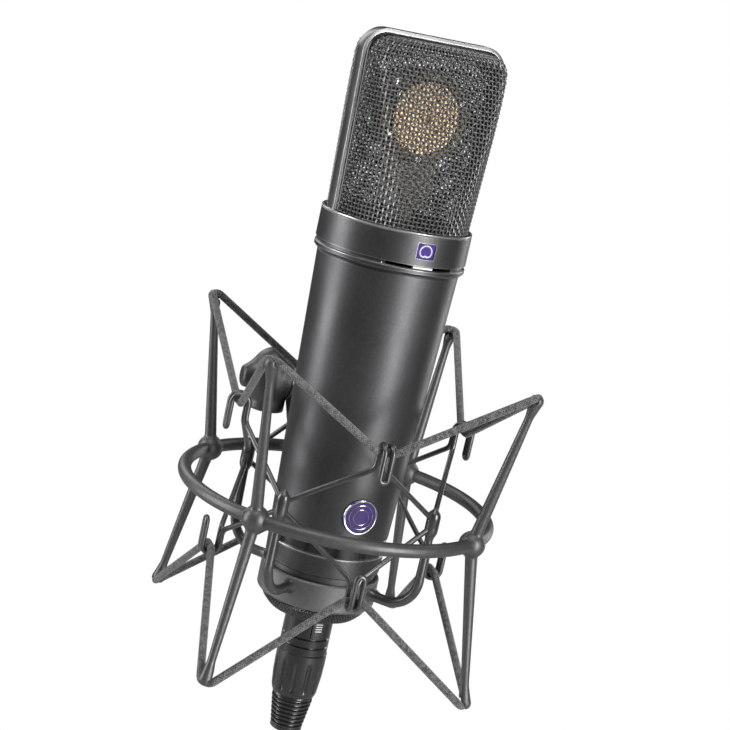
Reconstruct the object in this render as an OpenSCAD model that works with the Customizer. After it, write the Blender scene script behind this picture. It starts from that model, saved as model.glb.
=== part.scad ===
// Side-address condenser microphone in an elastic suspension, with its cable plug.
// Z runs up the microphone, and the front of the suspension faces -Y.
// The origin is the mouth of the stand thread, behind the suspension ring.
// Modules under "in_mic" use the microphone's own frame: z = 0 is its bottom face.

/* [Microphone] */
// Length of the microphone from its bottom face to the top of the head
mic_len = 200; // [196:1:204]
// Outside diameter of the collar below the head
collar_d = 56; // [55.5:0.1:56.5]
// Height of the head above the collar
head_h = 66.7; // [65:0.1:68]
// How far the microphone is turned in its mount, degrees
mic_turn = 8.2; // [-20:0.1:20]
// Radius of the tapered body at its top
body_top_r = 26.4; // [26.2:0.1:26.6]
// Radius of the tapered body at its bottom
body_low_r = 22.5; // [22.3:0.1:22.7]
// Wall of the body tube
wall = 1.5; // [1.2:0.1:1.8]

/* [Head] */
// Width of the bar that frames the head, front to back
band_w = 5.6; // [5:0.1:6]
// Half the depth of the head at its top
head_top_y = 11.5; // [10:0.5:13]
// Radius of the head's top corners
head_corner = 9; // [8:0.5:10]
// Radius of the capsule
capsule_r = 17; // [16:0.5:17.5]
// Height of the capsule's centre above the collar's top
capsule_up = 38; // [37:0.5:39]

/* [Suspension ring] */
// Radius of the ring, to the middle of its rod
ring_r = 58; // [57:0.5:60]
// Radius of the ring's rod
ring_rod = 2.5; // [2.3:0.1:2.6]
// Height of the ring above the microphone's bottom face
ring_up = 26.3; // [25:0.1:28]
// Radius of the posts' heads around the microphone's axis
head_r = 69.4; // [68:0.2:71]
// Rise of the upper post heads above the ring
post_up = 58.2; // [56:0.2:60]
// Drop of the lower post heads below the ring
post_down = 58.2; // [56:0.2:60]

/* [Inner cage] */
// Radius of the wire
wire_r = 1; // [0.9:0.05:1.05]
// Distance between the two wires of a hook
hook_pitch = 3; // [2.8:0.1:3.2]
// Radius at which the wires of a hook rise
hook_in_r = 41; // [40.5:0.1:41.5]
// Radius at which the closed end of a hook hangs
hook_out_r = 47.5; // [47:0.1:48]
// Radius of the four joints between wires and arms
joint_r = 41; // [40.5:0.1:41.5]
// Radius of the cage's base cup
cup_r = 22.6; // [22.4:0.1:22.8]

/* [Elastic] */
// Radius of the elastic cord
elastic_r = 1.3; // [1.1:0.05:1.35]

/* [Stand swivel] */
// Radius of the stand thread's bore
stand_bore_r = 4; // [3.9:0.05:4.1]
// Depth of the stand thread's bore
stand_bore_len = 10; // [9:0.5:10]
// Height of the swivel's hinge above the stand thread's mouth
hinge_up = 14; // [13.8:0.1:15]
// Radius of the swivel's barrel
barrel_r = 9; // [8.6:0.1:9.2]
// Radius of the hinge bolt
bolt_r = 3; // [2.8:0.1:3.2]

/* [Cable plug] */
// Radius of the plug's shell
plug_r = 9.3; // [9.2:0.05:9.4]
// Radius of the cable hole in the boot
cable_r = 3.2; // [3:0.1:3.4]

/* [Hidden] */
$fn = 72;

// Place of the microphone's axis and bottom face in the frame of the stand thread
mic_x = 10;
mic_y = -85;
mic_z = -33.4;

gap = 0.3;           // clearance between bodies that move apart
touch = 0.02;        // clearance between faces of one body
run = 0.05;          // radial clearance of a turning fit
tiny = 0.02;         // how far a ball stands proud of the rods it joins

collar_r = collar_d / 2;
collar_z = mic_len - head_h;       // top of the collar
collar_h = 11.5;
slot_h = 1.3;                      // height of the selector's slot
lip_h = 2.4;
lip_top = collar_z - collar_h - slot_h;
body_top = lip_top - lip_h;
body_low = 14.3;                   // bottom of the body tube
band_low = 7.8;                    // bottom of the black band
slot_half = 29;                    // half the slot's angle, degrees
switch_half = 7.9;                 // half the selector's angle, degrees

head_low_r = 25.9;                 // the head's cone at the collar
head_high_r = 28.3;                // and at its top
mesh_t = 0.9;
bar_t = 1.7;                       // thickness of the head's bar
capsule_z = collar_z + capsule_up;
capsule_half = 4.6;                // half the thickness of the capsule body
skin_t = 0.8;                      // thickness of a diaphragm with its ring

seat_z = -3.5;                     // underside of the microphone's foot
pad_t = 2;
cup_rim = -2.4;
cup_low = -13.4;
cup_floor = -10.6;
nut_r = 17.6;
nut_low = -19.5;
boss_r = 13;
boss_low = -17.5;
nose_r = 7.95;                     // the plug's nose
shell_top = -18.2;
shell_low = -36;
grip_low = -54;
boot_low = -69;

arm_bend = 12;                     // bend radius of a cage arm
arm_z = -6.2;                      // height at which an arm meets the cup
joint_z = 28.5;
ball_r = 5;                        // ball of a post, on the ring
sleeve_r = 2.5;                    // sleeve that joins the wires to an arm
upper_hook = [56.7, 48.4, 50];     // centre of the bend, closed end, foot of the rise
lower_hook = [1.3, 9.9, 7.5];
hook_bend = (hook_out_r - hook_in_r) / 2;
hook_mid_r = (hook_out_r + hook_in_r) / 2;

hinge_x0 = -12.9;                  // left end of the swivel block's boss
barrel_x1 = 7.1;
washer_t = 0.8;
ear_x0 = 7.95;
bush_r = 5.6;                      // the stand bush
ear_x1 = 12.4;

module in_cage() { translate([mic_x, mic_y, mic_z]) children(); }
module in_mic() { in_cage() rotate([0, 0, mic_turn]) children(); }

// A point at radius r, angle a from the front (-Y) towards +X, height z
function pol(r, a, z) = [r * sin(a), -r * cos(a), z];

// A round rod from point a to point b, tapering from r1 to r2
module rod(a, b, r1, r2) {
    v = b - a;
    translate(a)
        rotate([0, acos(v[2] / norm(v)), atan2(v[1], v[0])])
            cylinder(h = norm(v), r1 = r1, r2 = r2);
}

// Rods through a list of points, with a ball at each corner
module route(points, r) {
    for (i = [0 : len(points) - 2])
        rod(points[i], points[i + 1], r, r);
    for (i = [1 : len(points) - 2])
        translate(points[i]) sphere(r + tiny, $fn = 40);
}

module ring(r_in, r_out, z0, z1) {
    translate([0, 0, z0])
        difference() {
            cylinder(h = z1 - z0, r = r_out);
            translate([0, 0, -1]) cylinder(h = z1 - z0 + 2, r = r_in);
        }
}

// ---- Stand swivel ----

module along_x(x0, x1, r, r2) {
    translate([x0, 0, hinge_up])
        rotate([0, 90, 0]) cylinder(h = x1 - x0, r1 = r, r2 = r2);
}

module swivel_block() {
    socket_r = 7.6;
    dome_mid = 13;
    color("dimgray")
    difference() {
        union() {
            // domed housing over the socket
            translate([-0.5, 0, 0]) rotate_extrude()
                polygon(concat([[0, 1]], [for (t = [-65 : 5 : 90])
                    [9.5 * cos(t), dome_mid + 13.2 * sin(t)]]));
            // round face that the toothed washer bears on
            along_x(1, barrel_x1, barrel_r, barrel_r);
            // boss on the left
            translate([hinge_x0, 0, dome_mid - 0.3]) rotate([0, 90, 0]) {
                cylinder(h = 0.8, r1 = 3.4, r2 = 4.6);
                translate([0, 0, 0.8]) cylinder(h = 6, r = 4.6);
            }
            cylinder(h = 8, r = socket_r);
        }
        translate([0, 0, -1]) cylinder(h = stand_bore_len + 1, r = bush_r);
        along_x(-6.3, barrel_x1 + 6, bolt_r + run, bolt_r + run);
        translate([barrel_x1, -15, hinge_up - 20]) cube([10, 30, 40]);
    }
}

module thread_bush() {
    color("gainsboro")
    difference() {
        cylinder(h = stand_bore_len - touch, r = bush_r - touch);
        translate([0, 0, -1]) cylinder(h = stand_bore_len + 2, r = stand_bore_r);
    }
}

module tooth_washer() {
    color("silver")
    difference() {
        along_x(barrel_x1 + touch, barrel_x1 + washer_t, 8.4, 8.4);
        along_x(barrel_x1 - 1, barrel_x1 + 2, bolt_r + 0.3, bolt_r + 0.3);
    }
}

module hinge_bolt() {
    head_w = 5;
    color("gainsboro")
    difference() {
        union() {
            along_x(-6, ear_x1 + 0.2, bolt_r, bolt_r);
            along_x(ear_x1 + 0.1, ear_x1 + 0.1 + head_w, 5.4, 5.4);
        }
        for (i = [0 : 11])
            translate([0, 0, hinge_up]) rotate([i * 30, 0, 0])
                translate([ear_x1 - 1, 0, 5.7])
                    rotate([0, 90, 0]) cylinder(h = head_w + 3, r = 0.7, $fn = 16);
    }
}

// The arm from the ring to the hinge, beside the swivel's barrel
module bracket() {
    ring_y = mic_y + ring_r;
    ring_z = mic_z + ring_up;
    color("dimgray")
    difference() {
        union() {
            hull() {
                translate([ear_x0, 0, hinge_up]) rotate([0, 90, 0])
                    cylinder(h = ear_x1 - ear_x0, r = 8.2, $fn = 40);
                translate([ear_x0, -14, hinge_up - 15]) rotate([0, 90, 0])
                    cylinder(h = ear_x1 - ear_x0, r = 5.5, $fn = 32);
            }
            hull() {
                translate([ear_x0, -14, hinge_up - 15]) rotate([0, 90, 0])
                    cylinder(h = ear_x1 - ear_x0, r = 5.5, $fn = 32);
                translate([ear_x0, ring_y + 1.5, ring_z + 0.5]) rotate([0, 90, 0])
                    cylinder(h = ear_x1 - ear_x0, r = 4.6, $fn = 32);
            }
        }
        along_x(ear_x0 - 1, ear_x1 + 1, bolt_r + run, bolt_r + run);
        in_cage() translate([0, 0, ring_up])
            rotate_extrude() translate([ring_r, 0]) circle(ring_rod + touch);
    }
}

// ---- Outer ring and posts ----

module outer_ring() {
    color("dimgray")
    in_cage() translate([0, 0, ring_up])
        difference() {
            rotate_extrude() translate([ring_r, 0]) circle(ring_rod);
            for (a = [45 : 90 : 315])
                translate(pol(ring_r, a, 0)) sphere(ball_r + touch);
        }
}

// A post: a ball on the ring, a rod up, a rod down and a slotted head on each
module post(a) {
    top = pol(head_r, a, ring_up + post_up);
    low = pol(head_r, a, ring_up - post_down);
    mid = pol(ring_r, a, ring_up);
    color("dimgray")
    in_cage() {
        translate(mid) sphere(ball_r);
        post_limb(mid, top, a, 1, upper_run);
        post_limb(mid, low, a, -1, lower_run);
    }
}

module post_limb(mid, end, a, side, run) {
    head = 2.7;
    v = (end - mid) / norm(end - mid);
    neck = end - v * 6.5;
    difference() {
        union() {
            rod(mid, neck + v, 2.4, 1.55);
            rod(neck, end - v * 1.2, 1.6, head - 0.25);
            translate(end) sphere(head);
        }
        // the slot that holds the elastic
        translate(end) rotate([0, 0, a])
            translate([-5, -(elastic_r + 0.05), side > 0 ? -0.4 : -9.6])
                cube([10, 2 * elastic_r + 0.1, 10]);
        // the grooves in which the elastic leaves the slot on both sides
        seat = pol(head_r, a, run[0]);
        rod(seat, rot_z([elastic_half, -run[2], run[1]], a - 45), elastic_r + 0.15, elastic_r + 0.15);
        rod(seat, rot_z([-elastic_half, -run[2], run[1]], a + 45), elastic_r + 0.15, elastic_r + 0.15);
    }
}

// ---- Elastics ----

// A closed zigzag from post heads to hooks, level z_hook at the hooks
// Heights of an elastic at the heads and in the hooks, and its radius in the hooks
upper_run = [ring_up + post_up + 1.05, upper_hook[0] + 0.45, hook_mid_r + 0.2];
lower_run = [ring_up - post_down - 1.05, lower_hook[0] - 0.45, hook_mid_r + 0.2];
elastic_half = 3.4;                    // half the level stretch inside a hook
module elastic(run) {
    z_head = run[0];
    z_hook = run[1];
    r_hook = run[2];
    half = elastic_half;
    color("gray")
    in_cage()
    for (q = [0 : 3]) {
        // the level stretch is closed up on both sides by a straight run to a head
        p0 = rot_z([-half, -r_hook, z_hook], q * 90);
        p1 = rot_z([half, -r_hook, z_hook], q * 90);
        rod(p0, p1, elastic_r, elastic_r);
        translate(p0) sphere(elastic_r + tiny, $fn = 40);
        translate(p1) sphere(elastic_r + tiny, $fn = 40);
        rod(p1, pol(head_r, q * 90 + 45, z_head), elastic_r, elastic_r);
        rod(p0, pol(head_r, q * 90 - 45, z_head), elastic_r, elastic_r);
        translate(pol(head_r, q * 90 + 45, z_head)) sphere(elastic_r + tiny, $fn = 40);
    }
}

function rot_z(p, a) = [p[0] * cos(a) - p[1] * sin(a), p[0] * sin(a) + p[1] * cos(a), p[2]];

module upper_elastic() {
    elastic(upper_run);
}

module lower_elastic() {
    elastic(lower_run);
}

// ---- Inner cage ----

// One hook, drawn at the front: two wires rise, bend over and join in a closed end.
// up is 1 for the upper hooks and -1 for the lower ones, which are mirrored.
module hook(levels, a, up) {
    z_bend = levels[0];
    z_end = levels[1];
    z_foot = levels[2];
    half = hook_pitch / 2;
    foot = pol(hook_in_r, 0, z_foot);
    z_joint = joint_z + up * 1.2;
    color("dimgray")
    in_cage() rotate([0, 0, a])
    difference() {
        union() {
            for (s = [-1, 1]) {
                rise = [s * half, -hook_in_r, z_foot];
                knot = pol(joint_r, s * 45, z_joint);
                rod(rise, [s * half, -hook_in_r, z_bend], wire_r, wire_r);
                translate(rise) sphere(wire_r + tiny, $fn = 40);
                rod(rise, knot, wire_r, wire_r);
                rod([s * half, -hook_out_r, z_bend], [s * half, -hook_out_r, z_end], wire_r, wire_r);
                translate([s * half, -hook_mid_r, z_bend])
                    rotate([up > 0 ? 0 : 180, 0, 0]) rotate([90, 0, 90])
                        rotate_extrude(angle = 180)
                            translate([hook_bend, 0]) circle(wire_r, $fn = 40);
            }
            translate([0, -hook_out_r, z_end])
                rotate([up > 0 ? 90 : -90, 0, 0]) rotate([0, 0, 180])
                    rotate_extrude(angle = 180)
                        translate([half, 0]) circle(wire_r, $fn = 40);
        }
        for (s = [-45, 45])
            translate(pol(joint_r, s, joint_z - 6)) cylinder(h = 12, r = sleeve_r + touch);
    }
}

// An arm, drawn at the front: a sleeve where the wires meet, down, and in to the cup
module cage_arm(a) {
    arm_r = 1.8;
    color("dimgray")
    in_cage() rotate([0, 0, a]) {
        translate(pol(joint_r, 0, joint_z - 4)) cylinder(h = 8, r = sleeve_r);
        translate(pol(joint_r, 0, joint_z + 4)) sphere(sleeve_r - 0.02);
        rod(pol(joint_r, 0, joint_z - 3), pol(joint_r, 0, arm_z + arm_bend), 1.5, arm_r);
        translate(pol(joint_r - arm_bend, 0, arm_z + arm_bend))
            rotate([90, 0, -90]) rotate([0, 0, 270])
                rotate_extrude(angle = 90)
                    translate([arm_bend, 0]) circle(arm_r, $fn = 40);
        difference() {
            rod(pol(joint_r - arm_bend, 0, arm_z), pol(cup_r - 0.5, 0, arm_z), arm_r, 2.2);
            translate([0, 0, arm_z - 5]) cylinder(h = 10, r = cup_r + touch);
        }
    }
}

module base_cup() {
    round_r = 1.2;
    color("gray")
    in_cage()
    rotate_extrude() polygon(concat(
        [[15.15, cup_low], [cup_r - round_r, cup_low]],
        [for (t = [-75 : 15 : 0]) [cup_r - round_r + round_r * cos(t), cup_low + round_r + round_r * sin(t)]],
        [[cup_r, cup_rim - 0.5], [cup_r - 0.5, cup_rim], [21.2, cup_rim]],
        [[21.2, seat_z - pad_t], [18.3, seat_z - pad_t], [18.3, cup_floor], [15.15, cup_floor]]));
}

module cup_pad() {
    color("black")
    in_cage() ring(15.6, 21.1, seat_z - pad_t + touch, seat_z - touch);
}

// The captive nut: a neck through the cup's floor and a knurled head below it
module locking_nut() {
    neck_r = 15.05;
    color("gray")
    in_cage()
    difference() {
        union() {
            translate([0, 0, cup_floor]) cylinder(h = 1.7, r = neck_r);
            translate([0, 0, nut_low + 2]) cylinder(h = cup_floor - nut_low - 1, r = neck_r);
            rotate_extrude() polygon([[0, nut_low], [nut_r - 1.4, nut_low],
                [nut_r, nut_low + 0.9], [nut_r + 1.7, nut_low + 2.6], [nut_r + 2.8, nut_low + 4.3],
                [nut_r + 3, cup_low - 0.8], [nut_r + 2.7, cup_low - 0.2], [0, cup_low - 0.2]]);
        }
        translate([0, 0, nut_low - 1]) cylinder(h = 30, r = boss_r + run);
        translate([0, 0, -10.45]) ring(14.2, 16, 0, 1);
    }
}

module snap_ring() {
    color("silver")
    in_cage() ring(14.25, 17.4, -10.4, -9.5);
}

// ---- Microphone head ----

// Outline of the head seen from the front, as points from the bottom left round
function head_outline(low, high, top, corner) = concat(
    [[low, -3], [high, top - corner]],
    [for (t = [15 : 15 : 90]) [high - corner + corner * cos(t), top - corner + corner * sin(t)]],
    [for (t = [90 : 15 : 165]) [-high + corner + corner * cos(t), top - corner + corner * sin(t)]],
    [[-high, top - corner], [-low, -3]]);

// Half the side view of the head: the slanted face, rounded over at the top
function side_outline(top_y, top, inset) = let (r = 5) concat(
    [[0, -3], [27, -3], [27 - inset, 3], [top_y, top - r]],
    [for (t = [18 : 18 : 90]) [top_y - r + r * cos(t), top - r + r * sin(t)]],
    [[0, top]]);

// The solid form of the head, smaller by inset on every side
module head_form(inset) {
    top = head_h - 0.6 - inset;
    intersection() {
        translate([0, 0, -2]) cylinder(h = 75, r1 = head_low_r - 0.07 - inset, r2 = head_high_r + 0.25 - inset);
        rotate([90, 0, 0]) linear_extrude(80, center = true)
            polygon(head_outline(28 - inset, 29 - inset, top, head_corner - inset));
        rotate([90, 0, 90]) linear_extrude(80, center = true)
            polygon(side_outline(head_top_y - inset, top, inset));
        }
    }

module half_grille(side) {
    in_mic() translate([0, 0, collar_z])
        rotate([0, 0, side > 0 ? 0 : 180])
            difference() {
                mirror([0, 1, 0]) head_form(0);
                mirror([0, 1, 0]) head_form(mesh_t);
                translate([-40, -band_w / 2, -5]) cube([80, 80, 80]);
                translate([-40, -40, -5]) cube([80, 80, 5.5]);
            }
}

module front_grille() { color("dimgray") half_grille(1); }
module rear_grille() { color("dimgray") half_grille(-1); }

module inner_gauze() {
    color("gray")
    in_mic() translate([0, 0, collar_z])
        for (turn = [0, 180]) rotate([0, 0, turn])
            difference() {
                mirror([0, 1, 0]) head_form(mesh_t + 0.5);
                mirror([0, 1, 0]) head_form(mesh_t + 0.9);
                translate([-40, -band_w / 2, -5]) cube([80, 80, 80]);
                translate([-40, -40, -5]) cube([80, 80, 5.5]);
            }
}

module head_band() {
    color("dimgray")
    in_mic() translate([0, 0, collar_z])
        intersection() {
            rotate([90, 0, 0]) linear_extrude(band_w - 2 * touch, center = true)
                difference() {
                    polygon(head_outline(27.4, 28.8, head_h, head_corner));
                    polygon(head_outline(27.4 - bar_t, 28.8 - bar_t, head_h - bar_t, head_corner - bar_t));
                    translate([-40, -10]) square([80, 10.5]);
                }
            translate([-40, -40, 0]) cube([80, 80, 80]);
        }
}

module head_base() {
    color("black")
    in_mic() translate([0, 0, collar_z - 3])
        difference() {
            cylinder(h = 3.4, r = 25.2);
            translate([0, 0, -1]) cylinder(h = 6, r = 3);
        }
}

module capsule_body() {
    color("goldenrod")
    in_mic() translate([0, 0, capsule_z]) rotate([90, 0, 0])
        difference() {
            cylinder(h = 2 * capsule_half, r = capsule_r, center = true);
            for (i = [0 : 5]) rotate([0, 0, i * 60 + 30])
                translate([14.9, 0, 0]) cylinder(h = 20, r = 0.55, center = true, $fn = 20);
        }
}

// A stretched film in its clamping ring on each face of the capsule
module diaphragms() {
    color("gold")
    in_mic() translate([0, 0, capsule_z]) rotate([90, 0, 0])
        for (side = [0, 1]) mirror([0, 0, side])
            translate([0, 0, capsule_half + touch])
                difference() {
                    cylinder(h = skin_t, r = 16.2);
                    translate([0, 0, 0.25]) cylinder(h = 2, r = 13.1);
                    for (i = [0 : 5]) rotate([0, 0, i * 60 + 30])
                        translate([14.9, 0, -1]) cylinder(h = 4, r = 0.8, $fn = 20);
                }
}

module capsule_screws() {
    color("silver")
    in_mic() translate([0, 0, capsule_z]) rotate([90, 0, 0])
        for (side = [0, 1]) mirror([0, 0, side])
            for (i = [0 : 5]) rotate([0, 0, i * 60 + 30])
                translate([14.9, 0, capsule_half + skin_t + 2 * touch]) {
                    cylinder(h = 0.5, r = 1.05, $fn = 24);
                    translate([0, 0, -3]) cylinder(h = 3.2, r = 0.5, $fn = 20);
                }
}

// The saddle that carries the capsule by its rim
module capsule_post() {
    saddle_z = capsule_z - collar_z - 15;
    color("ivory")
    in_mic() translate([0, 0, collar_z])
        difference() {
            union() {
                translate([0, 0, 0.42]) cylinder(h = saddle_z - 6, r = 5);
                translate([-9, -3.5, 5]) cube([18, 7, saddle_z - 1.5]);
            }
            translate([0, 0, capsule_z - collar_z]) rotate([90, 0, 0])
                cylinder(h = 20, r = capsule_r + touch, center = true);
        }
}

// ---- Microphone body ----

module collar() {
    color("dimgray")
    in_mic()
    difference() {
        union() {
            rotate_extrude() polygon([
                [25.3, collar_z - collar_h], [collar_r, collar_z - collar_h],
                [collar_r, collar_z - 0.8], [collar_r - 0.8, collar_z],
                [26.1, collar_z], [26.1, collar_z - 0.2], [25.3, collar_z - 0.2]]);
            // the web behind the slot, open where the selector runs
            translate([0, 0, lip_top + touch]) difference() {
                cylinder(h = slot_h, r = 27.2);
                translate([0, 0, -1]) cylinder(h = 5, r = 25.3);
                slot_wedge(slot_half, 5);
            }
        }
        translate([-3.6, -collar_r - 1, collar_z - 8.9]) cube([7.2, 6, 5.7]);
        rear_slots();
    }
}

// A wedge centred on the front that removes a ring's arc
module slot_wedge(half, h) {
    translate([0, 0, -1])
        linear_extrude(h) polygon(concat([[0, 0]],
            [for (t = [-half : half / 4 : half + 0.01]) [40 * sin(t), -40 * cos(t)]]));
}

// The two slots of the rear switches in the collar
module rear_slots() {
    for (s = [-1, 1])
        translate([s * 7 - 3.6, 22, collar_z - 7.2]) cube([7.2, 12, 2.6]);
}

module pattern_window() {
    color("indigo")
    in_mic()
    intersection() {
        rotate_extrude() polygon([[25.35, collar_z - 9.2], [27.5, collar_z - 9.2],
            [27.5, collar_z - 2.8], [25.35, collar_z - 2.8]]);
        translate([-3.5, -collar_r, collar_z - 8.8]) cube([7, 5, 5.5]);
    }
}

// The selector's knob in the slot: it slides round the collar
module pattern_switch() {
    color("white")
    in_mic()
    intersection() {
        rotate_extrude() polygon([
            [25.5, lip_top + 0.3], [28.1, lip_top + 0.3],
            [28.1, lip_top + slot_h - 0.25], [25.5, lip_top + slot_h - 0.25]]);
        translate([0, 0, lip_top - 2]) slot_wedge(switch_half, 8);
    }
}

module lip_ring() {
    color("dimgray")
    in_mic()
    rotate_extrude() polygon([
        [25.3, body_top], [27.3, body_top], [collar_r, body_top + 0.7],
        [collar_r, lip_top - 0.4], [collar_r - 0.4, lip_top], [25.3, lip_top]]);
}

module rear_switch(s) {
    in_mic()
    union() {
        translate([s * 7 - 1.2, 23.6, collar_z - 6.9]) cube([2.4, 4, 2]);
        translate([s * 7 - 1.8, 22.6, collar_z - 6.9]) cube([3.6, 1, 2]);
    }
}

module pad_switch() { color("black") rear_switch(-1); }
module low_cut_switch() { color("black") rear_switch(1); }

module body_tube() {
    color("dimgray")
    in_mic()
    rotate_extrude() polygon([
        [body_low_r - wall, body_low + touch], [body_low_r - 0.4, body_low + touch],
        [body_low_r, body_low + 0.4], [body_top_r, body_top - 1.2],
        [body_top_r - 0.5, body_top - touch], [body_top_r - wall, body_top - touch]]);
}

module band_ring() {
    color("black")
    in_mic()
    rotate_extrude() polygon([
        [20.6, band_low + touch], [22, band_low + touch], [22.3, band_low + 0.35],
        [22.05, band_low + 0.7], [22.15, body_low - 0.6], [22.4, body_low - 0.3],
        [22.2, body_low], [20.6, body_low]]);
}

module bottom_ring() {
    color("dimgray")
    in_mic()
    rotate_extrude() polygon([
        [20.2, 0], [21.3, 0], [21.9, 0.6], [22.15, band_low - 0.4],
        [21.9, band_low], [20.2, band_low]]);
}

// The foot: a flange that seats in the cup and a hollow threaded boss
module threaded_base() {
    color("dimgray")
    in_mic()
    difference() {
        union() {
            translate([0, 0, seat_z]) cylinder(h = -seat_z - touch, r = 20.9);
            translate([0, 0, -1]) cylinder(h = 5, r = 19.8);
            translate([0, 0, boss_low]) cylinder(h = 16, r = boss_r);
        }
        translate([0, 0, boss_low - 1]) cylinder(h = 30, r = 8.3);
    }
}

module output_socket() {
    color("black")
    in_mic()
    translate([0, 0, -3])
        difference() {
            cylinder(h = 6, r = 8.3 - touch);
            pin_holes(1.2 + touch, 20);
        }
}

// The standard three-pin pattern
module pin_holes(r, h) {
    for (a = [-57, 57, 180])
        translate(pol(4, a, -5)) cylinder(h = h, r = r, $fn = 32);
}

module socket_pins() {
    color("gainsboro")
    in_mic()
    translate([0, 0, -7]) pin_holes(1.2, 14);
}

module chassis() {
    color("silver")
    in_mic() {
        for (s = [-1, 1]) translate([s * 16 - 1.5, -2, 5.5]) cube([3, 4, 105]);
        translate([0, 0, 110.5]) cylinder(h = 2, r = 22);
        difference() {
            translate([0, 0, 4 + touch]) cylinder(h = 1.5, r = 19.5);
            translate([0, 0, 3]) cylinder(h = 4, r = 7);
        }
    }
}

module amplifier_board() {
    color("darkgreen")
    in_mic() {
        translate([-14.4, -0.8, 44]) cube([28.8, 1.6, 60]);
        for (z = [52, 66, 80, 94]) {
            translate([-6, -0.8, z]) rotate([90, 0, 0]) cylinder(h = 9, r = 3.2, $fn = 24);
            translate([3, -6.8, z - 3]) cube([8, 6, 5]);
        }
    }
}

module transformer() {
    color("dimgray")
    in_mic() {
        translate([-11, -9, 14]) cube([22, 18, 20]);
        translate([-7, -12, 17]) cube([14, 24, 14]);
    }
}

// A small plain diamond plate on the front of the body
module badge() {
    centre_z = 25.7;
    color("indigo")
    in_mic()
    intersection() {
        rotate_extrude() polygon([
            [taper_r(12) + touch, 12], [taper_r(12) + 0.8, 12],
            [taper_r(40) + 0.8, 40], [taper_r(40) + touch, 40]]);
        translate([0, -30, centre_z]) rotate([-90, 0, 0]) cylinder(h = 20, r = 6.8);
    }
}

// Radius of the tapered body at height z
function taper_r(z) = body_low_r + (body_top_r - body_low_r) * (z - body_low - 0.4) / (body_top - 1.2 - body_low - 0.4);

// ---- Cable plug ----

module plug_shell() {
    color("dimgray")
    in_mic()
    difference() {
        union() {
            translate([0, 0, shell_top]) cylinder(h = -4.2 - shell_top, r = nose_r);
            rotate_extrude() polygon([
                [0, shell_low], [plug_r, shell_low], [plug_r, shell_low + 2.6],
                [plug_r - 0.4, shell_low + 3], [plug_r, shell_low + 3.4],
                [plug_r, shell_low + 6], [plug_r - 0.4, shell_low + 6.4],
                [plug_r, shell_low + 6.8], [plug_r, shell_top - 1], [plug_r - 1, shell_top],
                [0, shell_top]]);
        }
        translate([0, 0, shell_low - 1]) cylinder(h = 40, r = 7.1);
        translate([-2.6, -12, -29]) cube([5.2, 6, 8]);
    }
}

// The latch's push tab, in a window in the shell's front
module latch_button() {
    color("black")
    in_mic()
    intersection() {
        translate([-2.35, -11, -28.7]) cube([4.7, 3.7, 7.4]);
        translate([0, 0, -30]) cylinder(h = 10, r = plug_r + 0.5);
    }
}

module plug_insert() {
    color("black")
    in_mic()
    difference() {
        translate([0, 0, -20]) cylinder(h = 15.4, r = 7.1 - touch);
        translate([0, 0, -12.5]) pin_holes(1.35, 20);
    }
}

// The screwed sleeve, with shallow flutes for the fingers
module plug_grip() {
    color("black")
    in_mic()
    difference() {
        rotate_extrude() polygon([
            [6.9, shell_low - 0.2], [9.3, shell_low - 0.2], [9.6, shell_low - 0.8],
            [9.4, -47], [8.6, grip_low + 0.6], [8.2, grip_low], [6.9, grip_low]]);
        for (i = [0 : 11]) rotate([0, 0, i * 30])
            translate([10.2, 0, -51]) cylinder(h = 10.5, r = 1.3, $fn = 20);
    }
}

module plug_boot() {
    color("black")
    in_mic()
    rotate_extrude() polygon(concat(
        [[cable_r, grip_low - 0.2], [8, grip_low - 0.2]],
        [for (i = [0 : 6], k = [0 : 3])
            let (z = grip_low - 1 - i * 1.75, r = 7.9 - 0.28 * i)
            [r - (k == 1 || k == 2 ? 0.9 : 0), z - [0, 0.15, 0.75, 0.9][k]]],
        [[6.1, boot_low + 1.2], [6.1, boot_low], [cable_r, boot_low]]));
}

module plug_chuck() {
    color("white")
    in_mic() ring(cable_r + 0.2, 6.8, grip_low + 1, shell_low - 2);
}

// ---- Drawing ----

swivel_block();
thread_bush();
tooth_washer();
hinge_bolt();
bracket();
outer_ring();
post(-45);  // post_front_left
post(45);  // post_front_right
post(135);  // post_rear_right
post(-135);  // post_rear_left
upper_elastic();
lower_elastic();
hook(upper_hook, 0, 1);  // upper_hook_front
hook(upper_hook, 90, 1);  // upper_hook_right
hook(upper_hook, 180, 1);  // upper_hook_rear
hook(upper_hook, 270, 1);  // upper_hook_left
hook(lower_hook, 0, -1);  // lower_hook_front
hook(lower_hook, 90, -1);  // lower_hook_right
hook(lower_hook, 180, -1);  // lower_hook_rear
hook(lower_hook, 270, -1);  // lower_hook_left
cage_arm(-45);  // cage_arm_front_left
cage_arm(45);  // cage_arm_front_right
cage_arm(135);  // cage_arm_rear_right
cage_arm(-135);  // cage_arm_rear_left
base_cup();
cup_pad();
locking_nut();
snap_ring();
head_band();
front_grille();
rear_grille();
inner_gauze();
head_base();
capsule_body();
diaphragms();
capsule_screws();
capsule_post();
collar();
pattern_window();
lip_ring();
body_tube();
chassis();
amplifier_board();
transformer();
badge();
band_ring();
bottom_ring();
threaded_base();
output_socket();
socket_pins();
pattern_switch();
pad_switch();
low_cut_switch();
plug_shell();
latch_button();
plug_insert();
plug_grip();
plug_boot();
plug_chuck();
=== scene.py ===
import math
import bmesh
import bpy
import numpy as np
from mathutils import Matrix, Vector


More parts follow.
